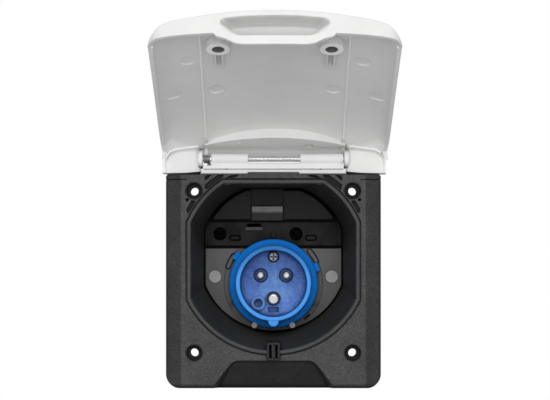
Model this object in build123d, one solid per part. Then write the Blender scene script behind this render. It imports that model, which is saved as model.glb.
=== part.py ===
from build123d import *
import os
from math import sin, cos, tan, atan2, sqrt, radians, pi

os.makedirs("parts", exist_ok=True)

# ------------------------------------------------------------------------------------
# Driving dimensions, millimetres.
# +X right, -Y towards the person in front of it, +Z up.
# Origin: wall plane (back of the flange gasket), centre of the four screw holes.
# ------------------------------------------------------------------------------------
FRAME_W = 123.0          # flange width
FRAME_TOP = 55.5         # flange top edge
FRAME_BOT = -66.4        # flange bottom edge
FRAME_R, TOP_R = 8.4, 1.2 # flange corner radii, bottom and top
FACE_Y = -17.0           # front face of the flange
BACK_Y = -2.0            # back rim of the flange
BEVEL_X = 53.0           # where the flat face ends and the side bevel starts
BEVEL_Y = -13.2          # where the side bevel meets the flange's side
SKIN = 2.6               # flange skin thickness
HOLE_DX, HOLE_DZ = 90.4, 92.4
HOLE_R, CBORE_R, CBORE_D = 2.4, 4.7, 4.2

OPEN_R, OPEN_X, OPEN_T, OPEN_C = 52.4, 47.1, 50.4, 7.6    # opening: radius, flats, top, centre
OPEN_RU = 51.3           # its upper corners are drawn a little tighter
FLOOR_R, FLOOR_X, FLOOR_T, FLOOR_C = 44.3, 41.0, 50.2, 9.0  # same, at the chamber floor
FLOOR_Y = 45.0           # front of the chamber floor
FLOOR_T_MM = 2.5         # floor thickness
CH_WALL = 2.4            # chamber wall
LIP_W, LIP_H = 2.1, 1.3  # rim round the opening

AX_Y, AX_Z = -9.5, 64.7  # hinge axis
PIN_R = 1.5
BARREL_R = 3.15
OPEN_DEG = 112.0         # lid opening, closed to open

LID_HW = 65.0            # lid half width at the hinge end
LID_WIDEN = 0.0115       # how much wider each side gets per millimetre towards the free end
LID_DX = 0.8             # the lid sits this far to the right in its hinge
LID_T = 2.2              # lid wall
LID_U0 = -6.2            # hinge end, measured down from the hinge axis (closed)
LID_UC = 133.5           # free end at the corners
LID_UM = 139.5           # free end in the middle
LID_RIM = 4.0            # side rim, in front of the hinge axis (closed)
ARCH_R = 335.0           # crown radius across the lid

INLET_Z = -6.7           # axis of the inlet
RIM_Y = 12.0             # front rim of the shroud
SHROUD_RO, SHROUD_RI = 22.0, 19.6
COLLAR_R, COLLAR_Y0, COLLAR_Y1 = 26.4, 37.0, 41.0
CONTACT_Y = 49.0         # face of the contact carrier
PIN_CIRCLE = 9.1
PLATE_Y = 42.0           # front of the inlet plate
STRIP_Y = 43.0           # front of the middle strip of the floor
COVER_Y = 41.0           # front of the terminal cover
PLATE_TOP = 14.1
STRIP_BOT, STRIP_TOP = 15.9, 29.9
COVER_BOT = 30.9

SEAL_T = 0.8             # rear seal
HOUSE_Y1 = 90.0          # back of the rear housing
GLAND_Z = 30.0           # gland axis


# ------------------------------------------------------------------------------------
# Small helpers
# ------------------------------------------------------------------------------------
def fplane(y):
    """Local x = +X, local y = +Z, normal to the front."""
    return Plane(origin=(0, y, 0), x_dir=(1, 0, 0), z_dir=(0, -1, 0))


def bplane(y):
    """Local x = +X, local y = -Z, normal to the back."""
    return Plane(origin=(0, y, 0), x_dir=(1, 0, 0), z_dir=(0, 1, 0))


def slab(face, y0, y1):
    """Face drawn in X,Z; solid from y0 (front) to y1 (back)."""
    return extrude(fplane(y1) * face, amount=y1 - y0)


def barx(face, x0, x1):
    """Face drawn in Y,Z; solid from x0 to x1."""
    return extrude(Plane(origin=(x0, 0, 0), x_dir=(0, 1, 0), z_dir=(1, 0, 0)) * face, amount=x1 - x0)


def barz(face, z0, z1):
    """Face drawn in X,Y; solid from z0 to z1."""
    return extrude(Plane(origin=(0, 0, z0), x_dir=(1, 0, 0), z_dir=(0, 0, 1)) * face, amount=z1 - z0)


def poly(*pts):
    return make_face(Polyline(*pts, close=True))


def box(x0, x1, y0, y1, z0, z1):
    return Pos((x0 + x1) / 2, (y0 + y1) / 2, (z0 + z1) / 2) * Box(x1 - x0, y1 - y0, z1 - z0)


def ycyl(x, z, r, y0, y1):
    return slab(Pos(x, z) * Circle(r), y0, y1)


def xcyl(y, z, r, x0, x1):
    return barx(Pos(y, z) * Circle(r), x0, x1)


def dface(R, xf, zt, zc, g=0.0, Ru=None):
    """Circle with two side flats and a top flat; Ru is its upper radius; g grows it all round."""
    Ru = (Ru or R) + g
    R, xf, zt = R + g, xf + g, zt + g
    xt = sqrt(Ru * Ru - (zt - zc) ** 2)
    zu = sqrt(Ru * Ru - xf * xf)
    zh = sqrt(R * R - xf * xf)
    am = (atan2(zt - zc, xt) + atan2(zu, xf)) / 2
    mx, mz = Ru * cos(am), zc + Ru * sin(am)
    return make_face([
        Line((-xt, zt), (xt, zt)),
        ThreePointArc((xt, zt), (mx, mz), (xf, zc + zu)),
        Line((xf, zc + zu), (xf, zc - zh)),
        ThreePointArc((xf, zc - zh), (0, zc - R), (-xf, zc - zh)),
        Line((-xf, zc - zh), (-xf, zc + zu)),
        ThreePointArc((-xf, zc + zu), (-mx, mz), (-xt, zt)),
    ])


def opening(g=0.0):
    return dface(OPEN_R, OPEN_X, OPEN_T, OPEN_C, g, OPEN_RU)


def floor_face(g=0.0):
    return dface(FLOOR_R, FLOOR_X, FLOOR_T, FLOOR_C, g)


def cross_recess(r, depth):
    """Cross recess, opening at local z = 0, going down; built about local Z."""
    w = r * 0.30
    a = Pos(0, 0, -depth / 2) * Box(2 * r * 0.62, w, depth)
    b = Pos(0, 0, -depth / 2) * Box(w, 2 * r * 0.62, depth)
    return a + b


def pan_screw(head_r, head_h, shank_r, length, recess=True):
    """Pan-head screw about local Z, head top at z = 0, shank going down."""
    head = Pos(0, 0, -head_h / 2) * Cylinder(head_r, head_h)
    head = fillet(head.edges().group_by(Axis.Z)[-1], head_h * 0.45)
    s = head + Pos(0, 0, -head_h - length / 2) * Cylinder(shank_r, length)
    s = chamfer(s.edges().group_by(Axis.Z)[0], shank_r * 0.35)
    if recess:
        s = s - cross_recess(head_r, head_h * 0.6)
    return s


def save(shape, name):
    shape.label = name
    export_step(shape, "parts/" + name + ".step")
    b = shape.bounding_box()
    print(f"{name:22s} vol {shape.volume:10.1f}  solids {len(shape.solids())}  "
          f"x {b.min.X:.1f}..{b.max.X:.1f} y {b.min.Y:.1f}..{b.max.Y:.1f} z {b.min.Z:.1f}..{b.max.Z:.1f}")


# ------------------------------------------------------------------------------------
# Base frame: flange shell, chamber and chamber floor in one moulding
# ------------------------------------------------------------------------------------
zmid = (FRAME_TOP + FRAME_BOT) / 2
hw = FRAME_W / 2


def flange_profile(g):
    """Flange cross-section in X,Y with bevelled sides; g is how far it is set in."""
    w = hw - g
    yf = FACE_Y + g
    slope = (BEVEL_Y - FACE_Y) / (hw - BEVEL_X)
    xb = BEVEL_X - g * 0.35
    yb = yf + slope * (w - xb)
    f = poly((-w, 6), (-w, yb), (-xb, yf), (xb, yf), (w, yb), (w, 6))
    v = f.vertices()
    f = fillet([p for p in v if abs(p.Y - yf) < 1e-6], 1.8)
    f = fillet([p for p in f.vertices() if abs(p.Y - yb) < 1e-6], max(2.6 - g * 0.5, 0.8))
    return f


def flange_side(g):
    """Flange outline in Y,Z with a rounded lower front edge."""
    f = poly((FACE_Y + g, FRAME_BOT + g), (6, FRAME_BOT + g), (6, FRAME_TOP - g), (FACE_Y + g, FRAME_TOP - g))
    low = [p for p in f.vertices() if abs(p.X - FACE_Y - g) < 1e-6 and p.Y < 0]
    top = [p for p in f.vertices() if abs(p.X - FACE_Y - g) < 1e-6 and p.Y > 0]
    f = fillet(low, 2.4)
    top = [p for p in f.vertices() if abs(p.X - FACE_Y - g) < 1e-6 and p.Y > FRAME_TOP - g - 0.1]
    return fillet(top, 0.6)


outline = poly((-hw, FRAME_BOT), (hw, FRAME_BOT), (hw, FRAME_TOP), (-hw, FRAME_TOP))
outline = fillet([p for p in outline.vertices() if p.Y < 0], FRAME_R)
outline = fillet([p for p in outline.vertices() if p.Y > FRAME_TOP - 0.1], TOP_R)
flange = barz(flange_profile(0), FRAME_BOT - 1, FRAME_TOP + 1)
flange = flange & slab(outline, -30, BACK_Y)
flange = flange & barx(flange_side(0), -70, 70)

cavity = barz(flange_profile(SKIN), FRAME_BOT + SKIN, FRAME_TOP - SKIN)
cavity = cavity & slab(Pos(0, zmid) * RectangleRounded(FRAME_W - 2 * SKIN, FRAME_TOP - FRAME_BOT - 2 * SKIN, 4.0), -30, 5)
cavity = cavity - box(-41, 41, -20, -6.5, FRAME_BOT, -45.5)      # solid behind the lower recess
for sx in (-1, 1):
    for sz in (-1, 1):
        cavity = cavity - ycyl(sx * HOLE_DX / 2, sz * HOLE_DZ / 2, 6.4, -20, 6)
    for z in (-24.0, 0.0, 24.0):
        cavity = cavity - box(min(sx * 46, sx * 62), max(sx * 46, sx * 62), -20, BACK_Y - 1.5, z - 0.9, z + 0.9)
for sx in (-1, 1):                                               # backing of the corner pockets
    for xa, xb, za, zb in ((19.0, 51.0, 45.9, 60.0), (43.4, 51.0, 32.6, 44.4)):
        cavity = cavity - box(min(sx * xa, sx * xb), max(sx * xa, sx * xb), -20, FACE_Y + 4.8, za, zb)
for x in (-30.0, -10.0, 10.0, 30.0):
    cavity = cavity - box(x - 0.9, x + 0.9, -20, BACK_Y - 1.5, -66, -40)

frame = flange - cavity

ch_out = loft([fplane(FACE_Y + 1.0) * opening(CH_WALL), fplane(FLOOR_Y + FLOOR_T_MM) * floor_face(CH_WALL)])
ch_in = loft([fplane(FACE_Y) * opening(), fplane(FLOOR_Y) * floor_face()])
frame = frame + ch_out

# pads on the top edge under the hinge strip
frame = frame + box(-41.4, 41.4, FACE_Y + 0.3, -4.0, FRAME_TOP - 2, 56.2)
frame = frame + box(-14.6, 14.6, FACE_Y + 0.3, -4.0, FRAME_TOP - 2, 57.0)

# sloping shoulders on the top edge, under the lid's hinge-end corners
for sx in (-1, 1):
    pts = [(41.7, 53.5), (41.7, 57.4), (50.0, 56.7), (57.0, 56.3), (60.6, 55.9), (60.6, 53.5)]
    frame = frame + slab(poly(*[(sx * a, b) for a, b in pts]), -13.0, -9.4)

# rear bosses for the housing screws
HOUSE_SCREWS = [(-47.4, 24.0), (47.4, 24.0), (-47.4, -8.0), (47.4, -8.0)]
for x, z in HOUSE_SCREWS:
    sx = 1 if x > 0 else -1
    frame = frame + ycyl(x, z, 4.0, 34.0, FLOOR_Y + FLOOR_T_MM)
    frame = frame + box(min(sx * 42.8, x), max(sx * 42.8, x), 34.0, FLOOR_Y + FLOOR_T_MM, z - 2.2, z + 2.2)

# raised rim round the opening, with a shallow groove outside it
lip = slab(opening(LIP_W) - opening(), FACE_Y - LIP_H, FACE_Y + 2.0)
lip = fillet(lip.edges().filter_by_position(Axis.Y, FACE_Y - LIP_H - 0.01, FACE_Y - LIP_H + 0.01), 0.7)
frame = frame - slab(opening(LIP_W + 0.9) - opening(LIP_W), FACE_Y - 1, FACE_Y + 0.8)
frame = frame + lip
frame = frame - ch_in - slab(opening(), FACE_Y - 3, FACE_Y)

# catch box at the foot of the rim, with its tongue
catch = box(-3.7, 3.7, FACE_Y - 1.5, FACE_Y + 4, -50.2, -44.0) + box(-3.7, 3.7, FACE_Y - 1.5, 12.0, -45.0, -40.5)
catch = fillet(catch.edges().filter_by(Axis.Y).filter_by_position(Axis.X, -3.8, 3.8), 0.4)
frame = frame + catch
frame = frame - box(-2.5, 2.5, FACE_Y - 3, FACE_Y + 5.5, -49.2, -41.5)
frame = frame + box(-1.0, 1.0, FACE_Y - 0.6, FACE_Y + 6, -49.3, -41.4)

# recess at the lower edge, its floor leaning back towards the bottom
rec = poly((-38.0, 69.5), (-23.2, 50.3), (23.2, 50.3), (38.0, 69.5))
rec = fillet([p for p in rec.vertices() if p.Y < 55], 7.0)
rec = extrude(bplane(FACE_Y - 0.4) * rec, amount=10.0, taper=22)
rec = rec & barx(poly((FACE_Y - 2, -72), (FACE_Y + 9.4, -72), (FACE_Y + 8.2, -66.4), (FACE_Y + 1.5, -49), (FACE_Y - 2, -49)), -50, 50)
frame = frame - rec

# four screw holes, counterbored
for sx in (-1, 1):
    for sz in (-1, 1):
        x, z = sx * HOLE_DX / 2, sz * HOLE_DZ / 2
        frame = frame - ycyl(x, z, HOLE_R, -30, 10)
        frame = frame - ycyl(x, z, CBORE_R, -30, FACE_Y + CBORE_D)
        frame = frame - slab(Pos(x, z) * Circle(CBORE_R + 0.55), -30, FACE_Y + 0.45)

# relief pockets in the upper corners of the face, and a scored line across the top corners
POCKETS = [
    [(-39.4, 52.3), (-38.9, 54.6), (-37.9, 55.2), (-35.2, 55.4), (-37.8, 52.7)],
    [(-31.6, 55.4), (-28.4, 55.4), (-28.3, 54.6), (-38.2, 46.9), (-39.0, 47.4), (-39.1, 49.9)],
    [(-27.3, 53.6), (-24.2, 55.2), (-19.8, 55.4), (-20.4, 54.4), (-23.6, 53.6)],
    [(-46.8, 40.8), (-44.6, 40.7), (-44.4, 39.9), (-48.3, 33.5), (-49.2, 33.8), (-49.5, 35.8)],
]
for pts in POCKETS:
    for sx in (1, -1):
        q = [(sx * a, b) for a, b in pts]
        frame = frame - slab(poly(*q), FACE_Y - 2, FACE_Y + 1.7)
for sx in (-1, 1):
    frame = frame - ycyl(sx * 49.1, 41.2, 0.95, FACE_Y - 2, FACE_Y + 3.0)
    score = box(min(sx * 49.6, sx * 63), max(sx * 49.6, sx * 63), -25, 0, 52.5, 53.0)
    frame = frame - (score - barz(flange_profile(0.8), 50, 56))

# chamber floor: middle strip, openings and holes
strip = floor_face(-0.15) & (Pos(0, (STRIP_BOT + STRIP_TOP) / 2) * Rectangle(100, STRIP_TOP - STRIP_BOT))
frame = frame + slab(strip, STRIP_Y, FLOOR_Y + 0.5)
frame = frame - ycyl(0, INLET_Z, 22.9, 30, 60)
frame = frame - box(-26, 26, 40, 60, 34, 46)
for x in (-32.0, 13.5):
    frame = frame - ycyl(x, 22.9, 4.0, 40, 60)
for x in (-23.0, 22.5):
    frame = frame - slab(Pos(x, 20.5) * SlotOverall(7.2, 3.6), 40, FLOOR_Y + 1.0)
    frame = frame + slab(Pos(x, 20.5) * SlotOverall(5.4, 1.9), STRIP_Y + 0.5, FLOOR_Y + 1.5)
frame = frame - box(-15.8, -7.4, 40, 60, 27.0, 29.0)
frame = frame + box(-16.6, -6.6, STRIP_Y - 0.9, STRIP_Y + 0.5, 25.0, 27.0)
frame = frame + box(-1.0, 1.0, STRIP_Y - 2.5, STRIP_Y + 0.5, 20.6, 24.0)
frame = frame - box(-39.0, 39.0, FLOOR_Y - 0.5, FLOOR_Y + 1.2, PLATE_TOP + 0.1, STRIP_BOT - 0.1)
RIVETS = [(-34.9, -2.7), (34.9, -2.7)]
COLLAR_PINS = [(-11.3, -31.6), (11.3, -31.6)]
for x, z in RIVETS:
    frame = frame - ycyl(x, z, 2.0, 40, 60)
for x, z in COLLAR_PINS:
    frame = frame - ycyl(x, z, 0.8, 40, 60)

# screw pilot holes
for x, z in HOUSE_SCREWS:
    frame = frame - ycyl(x, z, 1.45, 36.5, 60)
STRIP_SCREWS = [-27.0, 27.0]
SCREW_Y = -9.5
for x in STRIP_SCREWS:
    frame = frame - Pos(x, SCREW_Y, 53) * Cylinder(1.7, 12)
    frame = frame - Pos(x, SCREW_Y, 50.4) * Cylinder(3.3, 3.0)
save(frame, "base_frame")

# ------------------------------------------------------------------------------------
# Flange gasket: foam sheet behind the flange
# ------------------------------------------------------------------------------------
g_sk = Pos(0, zmid) * RectangleRounded(FRAME_W - 1.6, FRAME_TOP - FRAME_BOT - 0.8, FRAME_R - 0.6)
g_sk = g_sk - dface(OPEN_R - 1.0, OPEN_X - 0.6, OPEN_T, OPEN_C, CH_WALL + 0.4)
gasket = slab(g_sk, BACK_Y, 0)
for sx in (-1, 1):
    for sz in (-1, 1):
        gasket = gasket - ycyl(sx * HOLE_DX / 2, sz * HOLE_DZ / 2, HOLE_R, -5, 5)
save(gasket, "flange_gasket")

# ------------------------------------------------------------------------------------
# Hinge strip with two barrels, its screws, and the pin
# ------------------------------------------------------------------------------------
bar = barx(poly((-11.6, 58.2), (-11.6, 62.3), (-11.2, 62.7), (-5.4, 62.7), (-5.0, 62.3), (-5.0, 58.2)), -38.0, 38.6)
lower = barx(poly((-14.6, 56.2), (-14.6, 58.1), (-14.3, 58.4), (-4.4, 58.4), (-4.4, 56.2)), -41.0, 41.0)
lower = lower - box(-14.7, 14.7, -20, 0, 55, 57.0)
hstrip = bar + lower
BARRELS = [(-35.5, -14.4), (15.4, 40.0)]
for x0, x1 in BARRELS:
    b = xcyl(AX_Y, AX_Z, BARREL_R, x0, x1)
    b = fillet(b.edges().filter_by(GeomType.CIRCLE), 0.4)
    hstrip = hstrip + b
    xr = min(x1, 38.6)
    hstrip = hstrip + box(x0 + 0.4, xr - 0.1, AX_Y - 1.6, AX_Y + 2.6, 61.5, 63.6)
hstrip = hstrip - xcyl(AX_Y, AX_Z, PIN_R + 0.06, -60, 60)
hstrip = hstrip - box(-14.3, 15.3, AX_Y - 2.2, AX_Y + 2.2, 62.2, 63.6)
hstrip = hstrip - box(-38.1, -35.6, AX_Y - 3.6, AX_Y + 3.6, 60.9, 63.6)
hstrip = hstrip + box(-40.1, -37.9, -11.6, -5.0, 58.2, 61.4) + box(38.5, 40.1, -11.6, -5.0, 58.2, 62.0)
hstrip = hstrip - box(-45, 45, -15.0, -10.6, 58.4, 59.1)      # shadow groove above the lower edge
for x in STRIP_SCREWS:
    hstrip = hstrip - Pos(x, SCREW_Y, 56) * Cylinder(1.3, 9.6)
save(hstrip, "hinge_strip")

ss = []
for x in STRIP_SCREWS:
    s = Pos(0, 0, 0) * pan_screw(2.9, 1.5, 1.3, 8.6)
    ss.append(Pos(x, SCREW_Y, 50.3) * (Rot(180, 0, 0) * s))
save(Compound(children=[s for c in ss for s in c.solids()]), "hinge_strip_screws")

pin = xcyl(AX_Y, AX_Z, PIN_R, -43.2, 43.2)
pin = chamfer(pin.edges().filter_by(GeomType.CIRCLE), 0.35)
save(pin, "hinge_pin")

# ------------------------------------------------------------------------------------
# Lid, drawn closed: u runs down from the hinge axis, v runs forward from it
# ------------------------------------------------------------------------------------
def uplane(u):
    """Local x = +X, local y = v, normal along +u."""
    return Plane(origin=(0, AX_Y, AX_Z - u), x_dir=(1, 0, 0), z_dir=(0, 0, -1))


def uv(u, v):
    """(Y, Z) of a point given in lid coordinates."""
    return (AX_Y - v, AX_Z - u)


def uprism(face, u0, u1):
    """Face drawn in X,v; solid from u0 to u1."""
    return extrude(uplane(u0) * face, amount=u1 - u0)


def xprism(pts, x0, x1):
    """Polygon drawn in u,v; solid from x0 to x1."""
    return barx(poly(*[uv(u, v) for u, v in pts]), x0, x1)


def vcyl(x, u, r, v0, v1):
    return slab(Pos(x, AX_Z - u) * Circle(r), AX_Y - v1, AX_Y - v0)


def arch(w, crown, rs):
    ve = crown - (ARCH_R - sqrt(ARCH_R ** 2 - w * w))
    f = make_face([
        Line((-w, -14), (-w, ve)), ThreePointArc((-w, ve), (0, crown), (w, ve)),
        Line((w, ve), (w, -14)), Line((w, -14), (-w, -14)),
    ])
    return fillet([p for p in f.vertices() if p.Y > 0], rs)


CROWN = [(-9.0, 11.2, 9.0), (4.0, 14.9, 9.5), (16.0, 16.7, 10.5), (50.0, 18.3, 13.0), (100.0, 19.0, 15.0), (146.0, 19.3, 15.0)]   # u, height, shoulder


def lid_half(u):
    return LID_HW + LID_WIDEN * max(u, 0.0)


def arch_solid(g):
    return Pos(LID_DX, 0, 0) * loft([uplane(u) * arch(lid_half(u) - g, c - g, r - g) for u, c, r in CROWN])


def plan(g):
    w, wf = LID_HW - g, lid_half(LID_UC) - g
    f = make_face([
        Line((-w, AX_Z - LID_U0 - g), (w, AX_Z - LID_U0 - g)),
        Line((w, AX_Z - LID_U0 - g), (wf, AX_Z - LID_UC + g)),
        ThreePointArc((wf, AX_Z - LID_UC + g), (0, AX_Z - LID_UM + g), (-wf, AX_Z - LID_UC + g)),
        Line((-wf, AX_Z - LID_UC + g), (-w, AX_Z - LID_U0 - g)),
    ])
    f = fillet([p for p in f.vertices() if p.Y < 0], 9.0 - g)
    return Pos(LID_DX, 0) * fillet([p for p in f.vertices() if p.Y > AX_Z], 3.6 - g)


env = arch_solid(0) & slab(plan(0), -60, 10)
cav = arch_solid(LID_T) & slab(plan(LID_T), -60, 30)

# sunk crescent over the hinge
CRES_U, CRES_R = 11.4, 86.5


def ledge_cut(half, r_plan, v_flat, u_in, rr):
    """Region above the sunk ledge over the hinge."""
    face = make_face([
        Line(uv(-12, 40), uv(-12, v_flat - rr)),
        Line(uv(-12, v_flat - rr), uv(u_in, v_flat - rr)),
        ThreePointArc(uv(u_in, v_flat - rr), uv(u_in + rr * (1 - cos(pi / 4)), v_flat - rr * (1 - sin(pi / 4))), uv(u_in + rr, v_flat)),
        Line(uv(u_in + rr, v_flat), uv(30, v_flat)),
        Line(uv(30, v_flat), uv(30, 40)),
        Line(uv(30, 40), uv(-12, 40)),
    ])
    blk = barx(face, LID_DX - half, LID_DX + half)
    disc = vcyl(LID_DX, CRES_U - CRES_R, r_plan, -20, 50)
    return blk & disc


env = env - ledge_cut(38.3, CRES_R - LID_T, 10.3, LID_U0, 4.6)
cav = cav - ledge_cut(40.5, CRES_R, 8.1, LID_U0 + LID_T, 2.4)

# rounded outer edge at the hinge end
EDGE_R, EDGE_U, EDGE_V = 3.4, LID_U0 + 3.4, 6.5
env = env - (xprism([(LID_U0 - 4, EDGE_V), (LID_U0 - 4, 30), (EDGE_U, 30), (EDGE_U, EDGE_V)], -80, 80)
             - xcyl(AX_Y - EDGE_V, AX_Z - EDGE_U, EDGE_R, -90, 90)
             - xprism([(EDGE_U - 0.4, EDGE_V + EDGE_R - 0.05), (EDGE_U - 0.4, 30), (EDGE_U + 1, 30), (EDGE_U + 1, EDGE_V + EDGE_R - 0.05)], -90, 90))
lid = env - cav

# rim: side walls end in one plane, the hinge-end wall reaches further back at its corners
lid = lid - xprism([(-3.4, -30), (-3.4, -6.0), (-1.6, 1.0), (1.8, LID_RIM), (126, LID_RIM), (170, LID_RIM - 1.2), (170, -30)], -80, 80)
back = [(-66, -7.2), (-63.2, -7.0), (-61.4, -6.9), (-57, -6.9), (-50, -6.7), (-43, -6.05), (-41.5, -5.9), (-41.5, -3.2), (-40.5, -3.2), (-40.5, 2.6)]
back = back + [(-a, b) for a, b in reversed(back)] + [(70, -30), (-70, -30)]
lid = lid - uprism(poly(*back), -12, -3.3)
front = [(-70, 3.4), (-65.2, 3.5), (-63.2, 5.2), (-55, 6.1), (-46, 6.5), (-35, 6.6), (-31.6, 6.5), (-30.2, 4.7), (-28.7, 4.3), (-25.1, 3.0), (-20.5, 0.35), (-17.5, -0.2), (-15.5, -0.4)]
front = front + [(-a, b) for a, b in reversed(front)] + [(80, -30), (-80, -30)]
lid = lid - Pos(LID_DX, 0, 0) * uprism(poly(*front), 126, 150)

# ears that hold the pin
for sx in (-1, 1):
    x0, x1 = (40.6, 43.0) if sx > 0 else (-43.0, -40.6)
    ear = xprism([(LID_U0 + 0.5, -3.0), (LID_U0 + 0.5, 8.4), (-3.6, 7.8), (2.4, 3.7), (0, 0), (-2.6, -3.4)], x0, x1) + xcyl(AX_Y, AX_Z, 4.4, x0, x1)
    lid = lid + (ear & env)

# finger scoop in the free end
APRON = [(-29.6, 9.0), (-29.6, 4.5), (-28.7, 4.3), (-25.1, 3.0), (-20.5, 0.35), (-17.5, -0.2), (-15.5, -0.4)]
apron = APRON + [(-a, b) for a, b in reversed(APRON)]
free_wall = slab(plan(0), -60, 30) - slab(plan(LID_T), -60, 30)
lid = lid + (free_wall & (Pos(LID_DX, 0, 0) * uprism(poly(*apron), 126, 150)))
DISH = [(-16.5, 4.6), (-19.5, 5.2), (-22.2, 7.1), (-25.6, 10.2), (-28.4, 12.0), (-28.3, 13.8), (-26.2, 15.0), (-14, 15.9), (0, 16.2)]
dish_pts = DISH + [(-a, b) for a, b in reversed(DISH[:-1])]
DISH_LEAN = 0.74         # width of the scoop at its back, against its mouth
FLOOR_C1 = [(139.9, 4.1), (135.6, 5.6), (131.6, 9.3), (129.2, 13.6), (128.3, 17.4), (128.0, 21.0)]


def scoop_region(g):
    crv = Spline(*[uv(u - g, v - g * 0.7) for u, v in FLOOR_C1])
    p0, p1 = uv(FLOOR_C1[0][0] - g, FLOOR_C1[0][1] - g * 0.7), uv(FLOOR_C1[-1][0] - g, FLOOR_C1[-1][1] - g * 0.7)
    q0, q1 = uv(155, FLOOR_C1[0][1] - g * 0.7), uv(155, FLOOR_C1[-1][1] - g * 0.7)
    return barx(make_face([crv, Line(p1, q1), Line(q1, q0), Line(q0, p0)]), -60, 60)


dish_in = loft([uplane(126.0) * poly(*[(a * DISH_LEAN, b) for a, b in dish_pts]), uplane(138.4) * poly(*dish_pts)], ruled=True) + uprism(poly(*dish_pts), 138.4, 150)
dish_in = Pos(LID_DX, 0, 0) * (dish_in & scoop_region(0.0))
big = offset(poly(*dish_pts), 2.0, kind=Kind.ARC)
dish_out = (Pos(LID_DX, 0, 0) * (uprism(big, 115, 155) & scoop_region(2.2))) & env
lid = lid + dish_out - dish_in

# hollow bosses with twin rails
BOSS_X, BOSS_U = 29.8, 113.5
for sx in (-1, 1):
    x = LID_DX + sx * BOSS_X
    post = vcyl(x, BOSS_U, 6.3, 10.0, 30) - vcyl(x, BOSS_U, 3.3, 5, 30)
    lid = lid + (post & env)
    lid = lid - vcyl(x, BOSS_U, 3.3, 5, 15.4)
    for dx in (-1.9, 1.9):
        lid = lid + (box(x + dx - 0.55, x + dx + 0.55, AX_Y - 30, AX_Y - 13.2, AX_Z - BOSS_U, AX_Z - BOSS_U + 27) & env)

# long low ribs, and the beads above the hinge-end wall
lid_inner = arch_solid(LID_T) - arch_solid(LID_T + 0.9)
for sx in (-1, 1):
    x = LID_DX + sx * 39.4
    rib = lid_inner & box(x - 0.5, x + 0.5, -60, 20, AX_Z - 132.5, AX_Z - 2.0)
    lid = lid + rib
    bx = (43.0, 61.8) if sx > 0 else (-61.8, -43.0)
    lid = lid + (lid_inner & box(bx[0], bx[1], -60, AX_Y - 0.5, AX_Z + 0.2, AX_Z + 1.2))

# shallow round ejector marks on the inside of the panel
mark_skin = arch_solid(LID_T - 0.5) - arch_solid(LID_T)
for x, u in ((-45.7, 94.5), (-54.6, 58.5), (-31.2, 58.8), (33.1, 58.8), (47.7, 93.6), (56.2, 57.1)):
    lid = lid - (vcyl(x, u, 4.3, -10, 40) & mark_skin)

# small moulding marks on the underside of the ledge
lid = lid + vcyl(-19.6, 3.7, 0.9, 7.7, 8.6)
lid = lid - vcyl(20.4, 0.8, 2.6, 7.0, 9.2)

lid = lid - xcyl(AX_Y, AX_Z, PIN_R, -60, 60)
lid = lid.rotate(Axis((0, AX_Y, AX_Z), (1, 0, 0)), -OPEN_DEG)
lid = lid - box(64.5, 70, -30, 10, 40, AX_Z - 0.2) - box(-70, -63.6, -30, 10, 40, AX_Z - 0.2)
save(lid, "lid")

# ------------------------------------------------------------------------------------
# Lid spring: wire coil on the pin, one leg on the strip, one on the lid's hinge-end wall
# ------------------------------------------------------------------------------------
WIRE_R, COIL_R, COIL_L, COIL_X = 0.40, 2.15, 3.5, -40.0
prof = Pos(0, COIL_R) * Circle(WIRE_R)
for i in range(1, 6):
    prof = prof + Pos(i * COIL_L / 5, COIL_R) * Circle(WIRE_R)
spring = revolve(prof, axis=Axis.X)
leg_a = Plane(origin=(0, 0.3, COIL_R), x_dir=(1, 0, 0), z_dir=(0, 1, 0)) * Circle(WIRE_R - 0.03)
leg_b = Plane(origin=(COIL_L, 0.3, -COIL_R), x_dir=(1, 0, 0), z_dir=(0, 1, 0)) * Circle(WIRE_R - 0.03)
spring = spring + extrude(leg_a, amount=4.1) + extrude(leg_b, amount=2.9)
spring = Pos(COIL_X, AX_Y, AX_Z) * spring
save(spring, "lid_spring")

# ------------------------------------------------------------------------------------
# Terminal cover: D-shaped, with a raised latch tab in a channel
# ------------------------------------------------------------------------------------
cov = floor_face(-0.6) & (Pos(0, (COVER_BOT + 60) / 2) * Rectangle(100, 60 - COVER_BOT))
cov = cov & poly((-60, 70), (-60, 55), (-37.4, 33.2), (-35.4, COVER_BOT - 0.2), (35.4, COVER_BOT - 0.2), (37.4, 33.2), (60, 55), (60, 70))
cover = slab(cov, COVER_Y, FLOOR_Y)
cover = chamfer(cover.edges().filter_by_position(Axis.Y, COVER_Y - 0.01, COVER_Y + 0.01), 1.0)
cover = cover - box(-12.8, 5.5, COVER_Y - 2, COVER_Y + 1.5, 39.7, 60)
cover = cover - box(-13.5, -12.8, COVER_Y - 2, COVER_Y + 1.0, COVER_BOT - 1, 60) - box(5.5, 6.2, COVER_Y - 2, COVER_Y + 1.0, COVER_BOT - 1, 60)
tab = barx(poly((COVER_Y + 0.4, 39.7), (COVER_Y - 1.9, 37.4), (COVER_Y - 1.9, COVER_BOT), (COVER_Y + 1.2, COVER_BOT), (COVER_Y + 1.2, 39.7)), -12.8, 5.5)
cover = cover + tab
for x in (-20.0, 20.0):
    leg = box(x - 3, x + 3, FLOOR_Y - 0.5, FLOOR_Y + 6.0, 43.8, 45.4) + barx(poly((FLOOR_Y + 2.9, 45.4), (FLOOR_Y + 2.9, 46.8), (FLOOR_Y + 6.0, 45.4)), x - 3, x + 3)
    cover = cover + leg
save(cover, "terminal_cover")

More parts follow.
